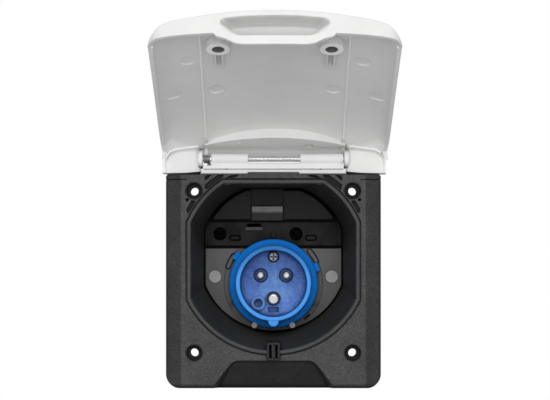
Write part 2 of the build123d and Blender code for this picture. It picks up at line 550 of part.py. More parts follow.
# ------------------------------------------------------------------------------------
# Inlet plate with bayonet slots, its rivets and the collar pins
# ------------------------------------------------------------------------------------
pl = floor_face(-0.5) & (Pos(0, (PLATE_TOP - 60) / 2) * Rectangle(100, PLATE_TOP + 60))
plate = slab(pl, PLATE_Y, FLOOR_Y)
plate = plate - ycyl(0, INLET_Z, 22.4, 30, 60) - ycyl(0, INLET_Z, 29.7, 30, STRIP_Y)
for a in (145.4, 27.4):                                          # bayonet slots, each with an island
    wide = slab(Pos(0, INLET_Z) * SlotArc(CenterArc((0, 0), 28.9, a, 14.4), 3.6), 30, FLOOR_Y - 0.3)
    isle = slab(Pos(0, INLET_Z) * SlotArc(CenterArc((0, 0), 28.9, a, 14.4), 1.9), STRIP_Y, FLOOR_Y - 0.1)
    plate = plate - wide + isle
for a in (207.0, 333.0):                                         # two small ring bosses
    c = Pos(27.9 * cos(radians(a)), INLET_Z + 27.9 * sin(radians(a)))
    plate = plate + slab(c * Circle(1.35), STRIP_Y - 0.5, STRIP_Y + 0.2) - slab(c * Circle(0.8), 30, STRIP_Y)
plate = plate - slab(Pos(0, INLET_Z) * SlotArc(CenterArc((0, 0), 28.4, 311.5, 7.0), 1.1), 30, 60)
for x, z in RIVETS:
    plate = plate - ycyl(x, z, 2.0, 30, 60)
for x, z in COLLAR_PINS:
    plate = plate - ycyl(x, z, 0.8, 30, 60)
save(plate, "inlet_plate")

rv = []
for x, z in RIVETS:
    head = ycyl(x, z, 3.75, PLATE_Y - 0.8, PLATE_Y)
    head = fillet(head.edges().group_by(Axis.Y)[0], 0.35)
    rv.append(head + ycyl(x, z, 2.0, PLATE_Y - 0.2, FLOOR_Y + FLOOR_T_MM) + ycyl(x, z, 3.0, FLOOR_Y + FLOOR_T_MM, FLOOR_Y + FLOOR_T_MM + 1.2))
save(Compound(children=[s for c in rv for s in c.solids()]), "plate_rivets")

cp = []
for x, z in COLLAR_PINS:
    head = ycyl(x, z, 1.8, COLLAR_Y0 - 0.8, COLLAR_Y0)
    head = fillet(head.edges().group_by(Axis.Y)[0], 0.3)
    cp.append(head + ycyl(x, z, 0.8, COLLAR_Y0 - 0.2, FLOOR_Y + FLOOR_T_MM))
save(Compound(children=[s for c in cp for s in c.solids()]), "collar_pins")

# ------------------------------------------------------------------------------------
# Inlet: gasket, shroud with collar, contact carrier, screw, pins, terminal screws
# ------------------------------------------------------------------------------------
save(ycyl(0, INLET_Z, 25.6, COLLAR_Y1, STRIP_Y) - ycyl(0, INLET_Z, 22.3, 30, 60), "inlet_gasket")

SEAT_Y, TUBE_Y1 = 57.2, 62.0
RIM_F, COLLAR_F = 0.7, 1.0   # roundings of the rim and the collar
k = 1 - cos(pi / 4)
prof = make_face([
    ThreePointArc((SHROUD_RI, RIM_Y + RIM_F), (SHROUD_RI + RIM_F * k, RIM_Y + RIM_F * k), (SHROUD_RI + RIM_F, RIM_Y)),
    Line((SHROUD_RI + RIM_F, RIM_Y), (SHROUD_RO - RIM_F, RIM_Y)),
    ThreePointArc((SHROUD_RO - RIM_F, RIM_Y), (SHROUD_RO - RIM_F * k, RIM_Y + RIM_F * k), (SHROUD_RO, RIM_Y + RIM_F)),
    Line((SHROUD_RO, RIM_Y + RIM_F), (SHROUD_RO, COLLAR_Y0)),
    Line((SHROUD_RO, COLLAR_Y0), (COLLAR_R - COLLAR_F, COLLAR_Y0)),
    ThreePointArc((COLLAR_R - COLLAR_F, COLLAR_Y0), (COLLAR_R - COLLAR_F * k, COLLAR_Y0 + COLLAR_F * k), (COLLAR_R, COLLAR_Y0 + COLLAR_F)),
    Line((COLLAR_R, COLLAR_Y0 + COLLAR_F), (COLLAR_R, COLLAR_Y1)),
    Line((COLLAR_R, COLLAR_Y1), (SHROUD_RO, COLLAR_Y1)),
    Line((SHROUD_RO, COLLAR_Y1), (SHROUD_RO, TUBE_Y1)),
    Line((SHROUD_RO, TUBE_Y1), (13.7, TUBE_Y1)),
    Line((13.7, TUBE_Y1), (13.7, SEAT_Y)),
    Line((13.7, SEAT_Y), (SHROUD_RI, SEAT_Y)),
    Line((SHROUD_RI, SEAT_Y), (SHROUD_RI, RIM_Y + RIM_F)),
])
shroud = revolve(Plane(origin=(0, 0, INLET_Z), x_dir=(1, 0, 0), z_dir=(0, 0, 1)) * prof, axis=Axis((0, 0, INLET_Z), (0, 1, 0)))
key = slab(Pos(0, INLET_Z - 22.2) * Circle(3.05), RIM_Y + 0.4, COLLAR_Y0 + 0.6)
key = fillet(key.edges().group_by(Axis.Y)[0], 0.6)
shroud = shroud + (key - ycyl(0, INLET_Z, 20.8, 0, 60))
for a in (143.0, 20.7):
    lug = slab(Pos(0, INLET_Z) * (Rot(0, 0, a) * (Pos(26.4, 0) * RectangleRounded(4.8, 5.2, 1.0))), COLLAR_Y0 + 1.2, COLLAR_Y1 - 0.2)
    shroud = shroud + lug
SCREW_R = 16.0
shroud = shroud - ycyl(0, INLET_Z + SCREW_R, 1.4, 50, 61.2)
save(shroud, "inlet_shroud")

PINS = {"contact_pin_line": (-7.6, INLET_Z + 4.8, 2.5, 18.5), "contact_pin_neutral": (7.6, INLET_Z + 4.8, 2.5, 18.5),
        "contact_pin_earth": (0.0, INLET_Z - 9.15, 3.5, 15.0)}
STEM_Y1 = 70.0
NECK = 0.5               # how much slimmer the pins are inside the carrier
carrier = ycyl(0, INLET_Z, SHROUD_RI - 0.1, CONTACT_Y, SEAT_Y) + ycyl(0, INLET_Z, 13.5, SEAT_Y - 0.2, STEM_Y1)
bx_, bz_ = -9.1, INLET_Z - 11.9
carrier = carrier + ycyl(bx_, bz_, 4.2, CONTACT_Y - 2.0, CONTACT_Y + 0.2)
carrier = carrier - ycyl(bx_, bz_, 2.7, CONTACT_Y - 3.0, CONTACT_Y + 4.5)
for name, (x, z, r, y0) in PINS.items():
    if r < 3:
        carrier = carrier - ycyl(x, z, 4.4, CONTACT_Y - 1, CONTACT_Y + 2.6)
        carrier = carrier + ycyl(x, z, 3.3, CONTACT_Y + 0.2, CONTACT_Y + 2.8)
        carrier = carrier - ycyl(x, z, 2.8, CONTACT_Y - 1, CONTACT_Y + 4.2)
    else:
        carrier = carrier - ycyl(x, z, 4.3, CONTACT_Y - 1, CONTACT_Y + 4.2)
    carrier = carrier - ycyl(x, z, r - NECK, CONTACT_Y, 80)
carrier = carrier - box(-3.2, 3.2, CONTACT_Y - 1, CONTACT_Y + 2.2, INLET_Z - 17.4, INLET_Z - 14.2)
carrier = carrier - box(-2.4, 2.4, CONTACT_Y - 1, CONTACT_Y + 2.2, INLET_Z + SCREW_R, INLET_Z + SCREW_R + 6)
carrier = carrier - ycyl(0, INLET_Z + SCREW_R, 3.6, CONTACT_Y - 1, CONTACT_Y + 2.2) - ycyl(0, INLET_Z + SCREW_R, 1.6, 40, 60)
save(carrier, "contact_carrier")

scr = pan_screw(3.1, 2.4, 1.4, 9.2)
save(Pos(0, CONTACT_Y - 0.2, INLET_Z + SCREW_R) * (Rot(90, 0, 0) * scr), "carrier_screw")

TERM_Y0, TERM_Y1, TERM_R, CLAMP_Y = STEM_Y1, 82.0, 3.9, 77.0
PIN_SHOULDER = 46.0      # full pin diameter up to here
ts = []
for name, (x, z, r, y0) in PINS.items():
    body = ycyl(x, z, r, y0, PIN_SHOULDER)
    body = fillet(body.edges().group_by(Axis.Y)[0], r * 0.42)
    body = body + ycyl(x, z, r - NECK, PIN_SHOULDER, TERM_Y0 + 0.5)
    body = body + ycyl(x, z, TERM_R, TERM_Y0, TERM_Y1)
    body = body - ycyl(x, z, 1.6, TERM_Y1 - 9.0, TERM_Y1 + 1)
    turn = {"contact_pin_line": Rot(0, -90, 0), "contact_pin_neutral": Rot(0, 90, 0), "contact_pin_earth": Rot(180, 0, 0)}[name]
    hole = Pos(x, CLAMP_Y, z) * (turn * (Pos(0, 0, 3.0) * Cylinder(1.25, 4.0)))
    body = body - hole
    save(body, name)
    clamp = Pos(x, CLAMP_Y, z) * (turn * (Pos(0, 0, TERM_R + 1.7) * pan_screw(1.9, 1.6, 1.25, 2.8)))
    ts.append(clamp)
save(Compound(children=[s for c in ts for s in c.solids()]), "terminal_screws")

# ------------------------------------------------------------------------------------
# Rear housing with its seal and screws, and the cable gland at its back
# ------------------------------------------------------------------------------------
SEAL_Y = FLOOR_Y + FLOOR_T_MM
HOUSE_Y0 = SEAL_Y + SEAL_T
save(slab(floor_face(2.2) - floor_face(0.3), SEAL_Y, HOUSE_Y0), "rear_seal")

h_out = loft([fplane(HOUSE_Y0) * floor_face(2.4), fplane(HOUSE_Y1) * floor_face(0.2)])
h_out = fillet(h_out.edges().filter_by_position(Axis.Y, HOUSE_Y1 - 0.01, HOUSE_Y1 + 0.01), 2.5)
h_in = loft([fplane(HOUSE_Y0) * floor_face(0.2), fplane(HOUSE_Y1 - 2.2) * floor_face(-2.0)])
EAR_T = 3.5
for x, z in HOUSE_SCREWS:
    sx = 1 if x > 0 else -1
    h_out = h_out + ycyl(x, z, 4.2, HOUSE_Y0, HOUSE_Y0 + EAR_T) + box(min(sx * 42.4, x), max(sx * 42.4, x), HOUSE_Y0, HOUSE_Y0 + EAR_T, z - 4.2, z + 4.2)
house = h_out - h_in
for x, z in HOUSE_SCREWS:
    house = house - ycyl(x, z, 1.9, 40, 60)
house = house - ycyl(0, GLAND_Z, 10.2, 80, 100)
save(house, "rear_housing")

hs = []
for x, z in HOUSE_SCREWS:
    s = pan_screw(3.1, 2.2, 1.45, 13.0)
    hs.append(Pos(x, HOUSE_Y0 + EAR_T + 2.2, z) * (Rot(-90, 0, 0) * s))
save(Compound(children=[s for c in hs for s in c.solids()]), "rear_housing_screws")

def hexagon(af):
    return RegularPolygon(af / 2, 6, major_radius=False)


g_y = HOUSE_Y1
gb = ycyl(0, GLAND_Z, 10.0, g_y - 8.0, g_y + 0.5)
gb = gb + slab(Pos(0, GLAND_Z) * hexagon(25.0), g_y, g_y + 5.0) + ycyl(0, GLAND_Z, 9.2, g_y + 5.0, g_y + 13.0)
gb = gb - ycyl(0, GLAND_Z, 6.4, g_y - 10, g_y + 20) - ycyl(0, GLAND_Z, 7.6, g_y + 6.5, g_y + 20)
save(gb, "gland_body")

ln = slab(Pos(0, GLAND_Z) * hexagon(26.0), g_y - 2.2 - 4.0, g_y - 2.2) - ycyl(0, GLAND_Z, 10.0, g_y - 10, g_y + 5)
save(ln, "gland_locknut")

gs = ycyl(0, GLAND_Z, 7.6, g_y + 6.5, g_y + 13.4) - ycyl(0, GLAND_Z, 5.5, g_y, g_y + 30)
save(gs, "gland_seal")

gn = slab(Pos(0, GLAND_Z) * hexagon(24.0), g_y + 5.4, g_y + 13.0) + ycyl(0, GLAND_Z, 11.6, g_y + 12.0, g_y + 19.0)
gn = fillet(gn.edges().group_by(Axis.Y)[-1], 4.0)
gn = gn - ycyl(0, GLAND_Z, 9.2, g_y, g_y + 13.4) - ycyl(0, GLAND_Z, 6.4, g_y, g_y + 30)
save(gn, "gland_nut")
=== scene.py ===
import math
import bpy
import bmesh
from mathutils import Vector, Matrix


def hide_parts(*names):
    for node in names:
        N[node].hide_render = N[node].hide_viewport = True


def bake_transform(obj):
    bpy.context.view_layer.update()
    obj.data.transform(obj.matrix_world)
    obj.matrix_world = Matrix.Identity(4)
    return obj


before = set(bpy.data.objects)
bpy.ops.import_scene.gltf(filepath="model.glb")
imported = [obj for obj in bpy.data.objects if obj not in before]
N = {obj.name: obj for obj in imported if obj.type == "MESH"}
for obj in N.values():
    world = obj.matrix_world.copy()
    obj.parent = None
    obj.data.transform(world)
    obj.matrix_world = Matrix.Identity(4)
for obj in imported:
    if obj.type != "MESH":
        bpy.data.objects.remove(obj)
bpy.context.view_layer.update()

scene = bpy.context.scene

MM = 0.001


# ------------------------------------------------------------------------------------
# Materials. Every node's mesh sits in the object's own frame, so object coordinates are metres.
# ------------------------------------------------------------------------------------
class Mat:
    """A node material with a Principled shader and object coordinates."""

    def __init__(self, name):
        self.m = bpy.data.materials.new(name)
        self.m.use_nodes = True
        self.t = self.m.node_tree
        self.b = self.t.nodes["Principled BSDF"]
        self.co = self.t.nodes.new("ShaderNodeTexCoord").outputs["Object"]

    def link(self, a, b):
        self.t.links.new(a, b)

    def mapping(self, scale=(1, 1, 1), rot=(0, 0, 0), loc=(0, 0, 0)):
        n = self.t.nodes.new("ShaderNodeMapping")
        n.inputs["Scale"].default_value = scale
        n.inputs["Rotation"].default_value = rot
        n.inputs["Location"].default_value = loc
        self.link(self.co, n.inputs["Vector"])
        return n.outputs["Vector"]

    def noise(self, scale, detail=2.0, rough=0.5, vec=None, dist=0.0):
        n = self.t.nodes.new("ShaderNodeTexNoise")
        n.inputs["Scale"].default_value = scale
        n.inputs["Detail"].default_value = detail
        n.inputs["Roughness"].default_value = rough
        n.inputs["Distortion"].default_value = dist
        self.link(vec or self.co, n.inputs["Vector"])
        return n.outputs["Fac"]

    def voronoi(self, scale, feature="F1", vec=None):
        n = self.t.nodes.new("ShaderNodeTexVoronoi")
        n.feature = feature
        n.inputs["Scale"].default_value = scale
        self.link(vec or self.co, n.inputs["Vector"])
        return n.outputs["Distance"]

    def ramp(self, fac, stops):
        n = self.t.nodes.new("ShaderNodeValToRGB")
        el = n.color_ramp.elements
        while len(el) < len(stops):
            el.new(0.5)
        for e, (p, c) in zip(el, stops):
            e.position = p
            e.color = (*c, 1.0)
        self.link(fac, n.inputs["Fac"])
        return n.outputs["Color"]

    def mapr(self, fac, a, b, c, d):
        n = self.t.nodes.new("ShaderNodeMapRange")
        for k, v in zip(("From Min", "From Max", "To Min", "To Max"), (a, b, c, d)):
            n.inputs[k].default_value = v
        self.link(fac, n.inputs["Value"])
        return n.outputs["Result"]

    def math(self, op, a, b):
        n = self.t.nodes.new("ShaderNodeMath")
        n.operation = op
        for i, v in enumerate((a, b)):
            if isinstance(v, (int, float)):
                n.inputs[i].default_value = v
            else:
                self.link(v, n.inputs[i])
        return n.outputs[0]

    def mix(self, fac, a, b, blend="MIX"):
        n = self.t.nodes.new("ShaderNodeMix")
        n.data_type = "RGBA"
        n.blend_type = blend
        if isinstance(fac, (int, float)):
            n.inputs[0].default_value = fac
        else:
            self.link(fac, n.inputs[0])
        for i, v in ((6, a), (7, b)):
            if isinstance(v, tuple):
                n.inputs[i].default_value = (*v, 1.0)
            else:
                self.link(v, n.inputs[i])
        return n.outputs[2]

    def bevel(self, radius):
        n = self.t.nodes.new("ShaderNodeBevel")
        n.samples = 4
        n.inputs["Radius"].default_value = radius
        return n.outputs["Normal"]

    def bump(self, height, strength, distance, normal=None):
        n = self.t.nodes.new("ShaderNodeBump")
        n.inputs["Strength"].default_value = strength
        n.inputs["Distance"].default_value = distance
        self.link(height, n.inputs["Height"])
        if normal is not None:
            self.link(normal, n.inputs["Normal"])
        return n.outputs["Normal"]

    def crevice_shade(self, col, distance, keep, lo=0.30, hi=0.85):
        """Paints shade into a colour where the surface closes in on itself, from ambient occlusion; keep is what is
        left of it there.
        """
        n = self.t.nodes.new("ShaderNodeAmbientOcclusion")
        n.samples = 8
        n.inputs["Distance"].default_value = distance
        return self.mix(1.0, col, self.mapr(n.outputs["AO"], lo, hi, keep, 1.0), "MULTIPLY")

    def set(self, **kw):
        for k, v in kw.items():
            s = self.b.inputs[k.replace("_", " ")]
            if isinstance(v, tuple):
                s.default_value = (*v, 1.0)
            elif isinstance(v, (int, float)):
                s.default_value = v
            else:
                self.link(v, s)
        return self


def plastic(name, dark, light, rough, grain=2600.0, grain_h=0.00002, grain_s=0.35, edge=0.00025, mottle=70.0, rough_var=0.06, occlusion_shade=None, bottom_darken=None, **kw):
    m = Mat(name)
    big = m.noise(mottle, 3.0)
    fine = m.noise(grain, 2.0, 0.6)
    col = m.ramp(big, [(0.30, dark), (0.70, light)])
    # Optionally darker towards the bottom.
    if bottom_darken:
        z = m.t.nodes.new("ShaderNodeSeparateXYZ")
        m.link(m.co, z.inputs[0])
        col = m.mix(1.0, col, m.mapr(z.outputs["Z"], *bottom_darken), "MULTIPLY")
    # Optional painted shade in crevices, from ambient occlusion.
    if occlusion_shade:
        col = m.crevice_shade(col, *occlusion_shade)
    rgh = m.mapr(m.noise(grain * 0.13, 2.0), 0.25, 0.75, rough - rough_var, rough + rough_var)
    nrm = m.bump(fine, grain_s, grain_h, m.bevel(edge) if edge else None)
    m.set(Base_Color=col, Roughness=rgh, Normal=nrm, **kw)
    return m.m


def metal(name, dark, light, rough, scratch=(1, 1, 1), scale=900.0, strength=0.12, edge=0.00015, occlusion_shade=None, metallic=1.0):
    m = Mat(name)
    v = m.mapping(scale=scratch)
    lines = m.noise(scale, 3.0, 0.6, v)
    col = m.ramp(m.noise(160.0, 3.0), [(0.3, dark), (0.7, light)])
    # Optional painted shade in crevices, from ambient occlusion.
    if occlusion_shade:
        col = m.crevice_shade(col, *occlusion_shade)
    rgh = m.mapr(lines, 0.3, 0.7, rough - 0.06, rough + 0.08)
    nrm = m.bump(lines, strength, 0.00002, m.bevel(edge))
    m.set(Base_Color=col, Roughness=rgh, Normal=nrm, Metallic=metallic)
    return m.m


m = Mat("moulded_black")
place = m.t.nodes.new("ShaderNodeSeparateXYZ")
m.link(m.co, place.inputs[0])
X, Y, Z = place.outputs["X"], place.outputs["Y"], place.outputs["Z"]
side = m.math("ABSOLUTE", X, 0.0)
middle = m.mapr(side, 0.0522, 0.0528, 1.0, 0.0)                                        # 1 between the two side bevels
sunk = m.math("MAXIMUM", m.math("MULTIPLY", m.mapr(Y, -0.0146, -0.0136, 0.0, 1.0), middle),
              m.math("MULTIPLY", m.math("MULTIPLY", m.mapr(Y, -0.0167, -0.0158, 0.0, 1.0), m.mapr(Z, -0.0486, -0.0494, 0.0, 1.0)), m.mapr(side, 0.0395, 0.0400, 1.0, 0.0)))   # counterbores and lower recess, painted dark as shade
pocket = m.math("MULTIPLY", m.math("MULTIPLY", m.mapr(Y, -0.0167, -0.0160, 0.0, 0.85), middle), m.mapr(Z, 0.0270, 0.0280, 0.0, 1.0))   # upper corner pockets, painted dark as shade
sunk = m.math("MAXIMUM", sunk, pocket)
depth = m.mapr(Y, -0.0170, 0.0450, 0.0, 1.0)                                           # 0 at the face, 1 at the chamber floor
dz = m.math("SUBTRACT", m.math("SUBTRACT", Z, 0.0076), m.math("MULTIPLY", depth, 0.0014))
reach = m.math("SQRT", m.math("ADD", m.math("MULTIPLY", X, X), m.math("MULTIPLY", dz, dz)), 0.0)
within = m.math("MULTIPLY", m.mapr(m.math("SUBTRACT", m.mapr(depth, 0.0, 1.0, 0.0532, 0.0455), reach), -0.0003, 0.0003, 0.0, 1.0),
                m.mapr(m.math("SUBTRACT", m.mapr(depth, 0.0, 1.0, 0.0483, 0.0422), side), -0.0003, 0.0003, 0.0, 1.0))
within = m.math("MULTIPLY", m.math("MULTIPLY", within, m.mapr(Z, 0.0513, 0.0519, 1.0, 0.0)), m.mapr(Y, -0.0168, -0.0150, 0.0, 1.0))   # inside of the chamber walls
inner = m.math("MAXIMUM", m.mapr(Y, -0.0125, -0.0105, 0.0, 1.0), sunk)                 # 0 on the grained face, 1 on the smoother walls, which also get the painted shade colour
under_shade = m.mapr(Z, -0.0636, -0.0654, 0.0, 1.0)                                          # rounded lower edge, painted dark as shade
flank_shade = m.mapr(side, 0.0597, 0.0613, 0.0, 0.6)                                         # outermost edge of the side bevels, painted dark as shade
# A ledge on the chamber floor strip, painted lighter as a highlight.
ledge_highlight = m.math("MULTIPLY", m.math("MULTIPLY", m.mapr(X, -0.0168, -0.0166, 0.0, 1.0), m.mapr(X, -0.0066, -0.0064, 1.0, 0.0)),
               m.math("MULTIPLY", m.mapr(Z, 0.0248, 0.0250, 0.0, 1.0), m.math("MULTIPLY", m.mapr(Y, 0.0400, 0.0402, 0.0, 1.0), m.mapr(Y, 0.0425, 0.0428, 1.0, 0.0))))
# Narrow middle band above the lower recess, painted dark as shade.
catch_shade = m.math("MULTIPLY", m.mapr(side, 0.0040, 0.0042, 1.0, 0.0), m.math("MULTIPLY", m.mapr(Z, -0.0506, -0.0503, 0.0, 1.0), m.mapr(Z, -0.0400, -0.0397, 1.0, 0.0)))
fine = m.noise(2300.0, 2.0, 0.6)
speck = m.mapr(m.noise(1150.0, 2.0, 0.55), 0.30, 0.70, 0.66, 1.34)
# The side bevels keep only 0.66 of the face colour: painted shade.
face_col = m.mix(1.0, m.ramp(m.noise(70.0, 3.0), [(0.30, (0.053, 0.053, 0.053)), (0.70, (0.068, 0.068, 0.068))]), m.mapr(middle, 0.0, 1.0, 0.66, 1.0), "MULTIPLY")
# Painted shade colour for the counterbores, lower recess, corner pockets and other surfaces behind the face.
recess_shade_col = m.ramp(m.noise(70.0, 3.0), [(0.30, (0.0150, 0.0150, 0.0150)), (0.70, (0.0190, 0.0190, 0.0190))])
wall_col = m.ramp(m.noise(40.0, 3.0), [(0.30, (0.0375, 0.0345, 0.0275)), (0.70, (0.0500, 0.0460, 0.0370))])
floor_col = m.ramp(m.noise(150.0, 3.0), [(0.35, (0.0085, 0.0085, 0.0085)), (0.65, (0.0230, 0.0230, 0.0230))])
col = m.mix(1.0, m.mix(inner, face_col, recess_shade_col), speck, "MULTIPLY")
col = m.mix(within, col, wall_col)
col = m.mix(m.mapr(Y, 0.0400, 0.0404, 0.0, 1.0), col, floor_col)
# Painted highlight on the ledge.
col = m.mix(ledge_highlight, col, (0.085, 0.085, 0.083))
# Painted shade: the lower edge, the outer flanks and the middle band are darkened towards near black.
col = m.mix(m.math("MULTIPLY", m.math("MAXIMUM", m.math("MAXIMUM", under_shade, flank_shade), m.math("MULTIPLY", catch_shade, 0.7)), 0.85), col, (0.006, 0.006, 0.006))
# Painted shade in the frame's crevices, from ambient occlusion.
m.set(Base_Color=m.crevice_shade(col, 0.005, 0.08),
      Roughness=m.math("ADD", m.mapr(inner, 0.0, 1.0, 0.42, 0.58), m.mapr(m.noise(300.0, 2.0), 0.25, 0.75, -0.04, 0.06)),
      Normal=m.bump(m.math("MULTIPLY", fine, m.mapr(inner, 0.0, 1.0, 1.0, 0.15)), 0.55, 0.00006, m.bevel(0.0004)), Specular_IOR_Level=0.25)
black_body = m.m
m = Mat("smooth_black")
place = m.t.nodes.new("ShaderNodeSeparateXYZ")
m.link(m.co, place.inputs[0])
# The front of the tab, lightest on its top bevel, is painted light grey: painted highlight.
edge = m.math("MULTIPLY", m.mapr(place.outputs["Y"], 0.0408, 0.04095, 1.0, 0.0), m.mapr(place.outputs["Z"], 0.0350, 0.0384, 0.03, 1.0))
base = m.ramp(m.noise(60.0, 3.0), [(0.30, (0.009, 0.009, 0.0095)), (0.70, (0.014, 0.014, 0.0145))])
painted_glint = m.ramp(m.noise(420.0, 3.0, 0.6, m.mapping(scale=(0.25, 1, 1))), [(0.30, (0.30, 0.30, 0.30)), (0.70, (0.46, 0.46, 0.46))])
# Painted crevice shade from ambient occlusion.
m.set(Base_Color=m.crevice_shade(m.mix(edge, base, painted_glint), 0.004, 0.15), Roughness=m.mapr(m.noise(390.0, 2.0), 0.25, 0.75, 0.32, 0.44),
      Normal=m.bump(m.noise(3000.0, 2.0, 0.6), 0.35, 0.00002, m.bevel(0.0003)), Specular_IOR_Level=0.35)
black_cover = m.m
black_rear = plastic("rear_black", (0.020, 0.020, 0.021), (0.028, 0.028, 0.029), 0.46, grain=2300.0, grain_h=0.00004, grain_s=0.5)
nylon = plastic("nylon_black", (0.015, 0.015, 0.016), (0.022, 0.022, 0.023), 0.42, grain=1800.0, grain_h=0.00002)
m = Mat("white_lid")
place = m.t.nodes.new("ShaderNodeSeparateXYZ")
m.link(m.co, place.inputs[0])
along = m.math("SUBTRACT", m.math("MULTIPLY", m.math("SUBTRACT", place.outputs["Z"], 0.0647), 0.3746),
               m.math("MULTIPLY", m.math("ADD", place.outputs["Y"], 0.0095), 0.9272))          # distance from the hinge along the lid
across = m.math("SUBTRACT", m.math("ABSOLUTE", m.math("SUBTRACT", place.outputs["X"], 0.0008), 0.0), 0.0298)
hub = m.math("SUBTRACT", along, 0.1135)
off = m.math("SQRT", m.math("ADD", m.math("MULTIPLY", across, across), m.math("MULTIPLY", hub, hub)), 0.0)
hole_shade = m.mapr(off, 0.00331, 0.00337, 1.0, 0.0)                                               # inside the two hollow bosses, painted dark as shade
height = m.math("ADD", m.math("MULTIPLY", m.math("ADD", place.outputs["Y"], 0.0095), 0.3746), m.math("MULTIPLY", m.math("SUBTRACT", place.outputs["Z"], 0.0647), 0.9272))
ring_highlight = m.math("MULTIPLY", m.mapr(off, 0.00625, 0.0064, 1.0, 0.0), m.mapr(height, 0.0101, 0.0104, 1.0, 0.0))   # end faces of the bosses, painted lighter as a highlight
# The inner ribs get a lighter colour: painted highlight.
rib_highlight = m.math("ABSOLUTE", m.math("SUBTRACT", m.math("ABSOLUTE", m.math("SUBTRACT", place.outputs["X"], 0.0008), 0.0), 0.0394), 0.0)
rib_highlight = m.math("MULTIPLY", m.mapr(rib_highlight, 0.00055, 0.0008, 1.0, 0.0), m.math("MULTIPLY", m.mapr(along, 0.1270, 0.1275, 1.0, 0.0), m.mapr(along, 0.0060, 0.0070, 0.0, 1.0)))
hole_shade = m.math("MULTIPLY", hole_shade, m.mapr(height, 0.0163, 0.0167, 1.0, 0.0))                     # not on the outer skin
rib_highlight = m.math("MULTIPLY", rib_highlight, m.mapr(m.math("SUBTRACT", m.mapr(along, 0.0040, 0.0300, 0.0114, 0.0147), height), -0.0002, 0.0002, 0.0, 1.0))
scoop = m.mapr(along, 0.1265, 0.1275, 0.0, 1.0)                                              # free end with the finger scoop
base = m.ramp(m.noise(70.0, 3.0), [(0.30, (0.765, 0.765, 0.76)), (0.70, (0.80, 0.80, 0.795))])
reach = m.math("ABSOLUTE", m.math("SUBTRACT", place.outputs["X"], 0.0008), 0.0)
ear_highlight = m.math("MULTIPLY", m.mapr(along, 0.0090, 0.0120, 1.0, 0.0), m.mapr(reach, 0.0400, 0.0406, 0.0, 1.0))       # ears and hinge-end corners, painted lighter as a highlight
sill_shade = m.math("MULTIPLY", m.mapr(along, -0.0030, 0.0000, 1.0, 0.0), m.mapr(reach, 0.0384, 0.0390, 1.0, 0.0))      # hinge end between them, painted darker as shade
back = m.mapr(height, 0.0078, 0.0088, 1.0, 0.0)                                              # inner side only
# Painted highlight on the ears and corners, painted shade on the hinge end between them.
base = m.mix(m.math("MULTIPLY", ear_highlight, back), base, (0.89, 0.89, 0.885))
base = m.mix(m.math("MULTIPLY", sill_shade, back), base, (0.50, 0.50, 0.497))
# Painted shade from ambient occlusion: reaching far in the finger scoop, only into tight crevices elsewhere.
deep = m.crevice_shade(base, 0.018, 0.76, 0.30, 0.95)
col = m.mix(scoop, m.crevice_shade(base, 0.006, 0.30, 0.20, 0.50), deep)
# Painted highlight: boss end faces and ribs are lighter.
col = m.mix(m.math("MAXIMUM", ring_highlight, rib_highlight), col, (0.95, 0.95, 0.945))
# Painted shade: the boss holes are dark.
col = m.mix(hole_shade, col, (0.17, 0.17, 0.17))
soft = m.t.nodes.new("ShaderNodeBevel")
soft.samples = 8
bowl = m.math("MULTIPLY", m.mapr(height, 0.0044, 0.0064, 0.0, 1.0), m.mapr(height, 0.0160, 0.0172, 1.0, 0.0))
bowl = m.math("MULTIPLY", m.math("MULTIPLY", scoop, bowl), m.mapr(reach, 0.0270, 0.0290, 1.0, 0.0))
m.link(m.mapr(bowl, 0.0, 1.0, 0.0005, 0.0045), soft.inputs["Radius"])
soft = soft.outputs["Normal"]
m.set(Base_Color=col, Roughness=m.mapr(m.noise(340.0, 2.0), 0.25, 0.75, 0.32, 0.44),
      Normal=m.bump(m.noise(2600.0, 2.0, 0.6), 0.25, 0.000025, soft))
white_lid = m.m
# Hinge strip: painted shade in its crevices, from ambient occlusion.
white_trim = plastic("white_trim", (0.81, 0.81, 0.805), (0.85, 0.85, 0.845), 0.34, grain=2600.0, grain_h=0.00002, grain_s=0.2, edge=0.0003, occlusion_shade=(0.003, 0.45, 0.15, 0.50))
# Inlet plate: painted shade in its crevices, from ambient occlusion.
grey_plate = plastic("grey_plate", (0.104, 0.104, 0.104), (0.140, 0.140, 0.140), 0.44, grain=2200.0, grain_h=0.00004, grain_s=0.45,
                     occlusion_shade=(0.003, 0.08), bottom_darken=(-0.034, 0.004, 0.55, 1.0), Specular_IOR_Level=0.35)
light_heads = plastic("light_heads", (0.33, 0.33, 0.33), (0.41, 0.41, 0.41), 0.42, grain=2500.0)
m = Mat("azure_shroud")
place = m.t.nodes.new("ShaderNodeSeparateXYZ")
m.link(m.co, place.inputs[0])
# The front rim face is a paler blue.
rim_face = m.mapr(m.math("ADD", place.outputs["Y"], m.mapr(m.noise(500.0, 3.0), 0.3, 0.7, -0.0002, 0.0002)), 0.0123, 0.0135, 1.0, 0.0)
base = m.ramp(m.noise(70.0, 3.0), [(0.30, (0.000, 0.165, 0.600)), (0.70, (0.001, 0.190, 0.670))])
pale = m.ramp(m.noise(240.0, 3.0), [(0.30, (0.055, 0.275, 0.740)), (0.70, (0.075, 0.315, 0.800))])
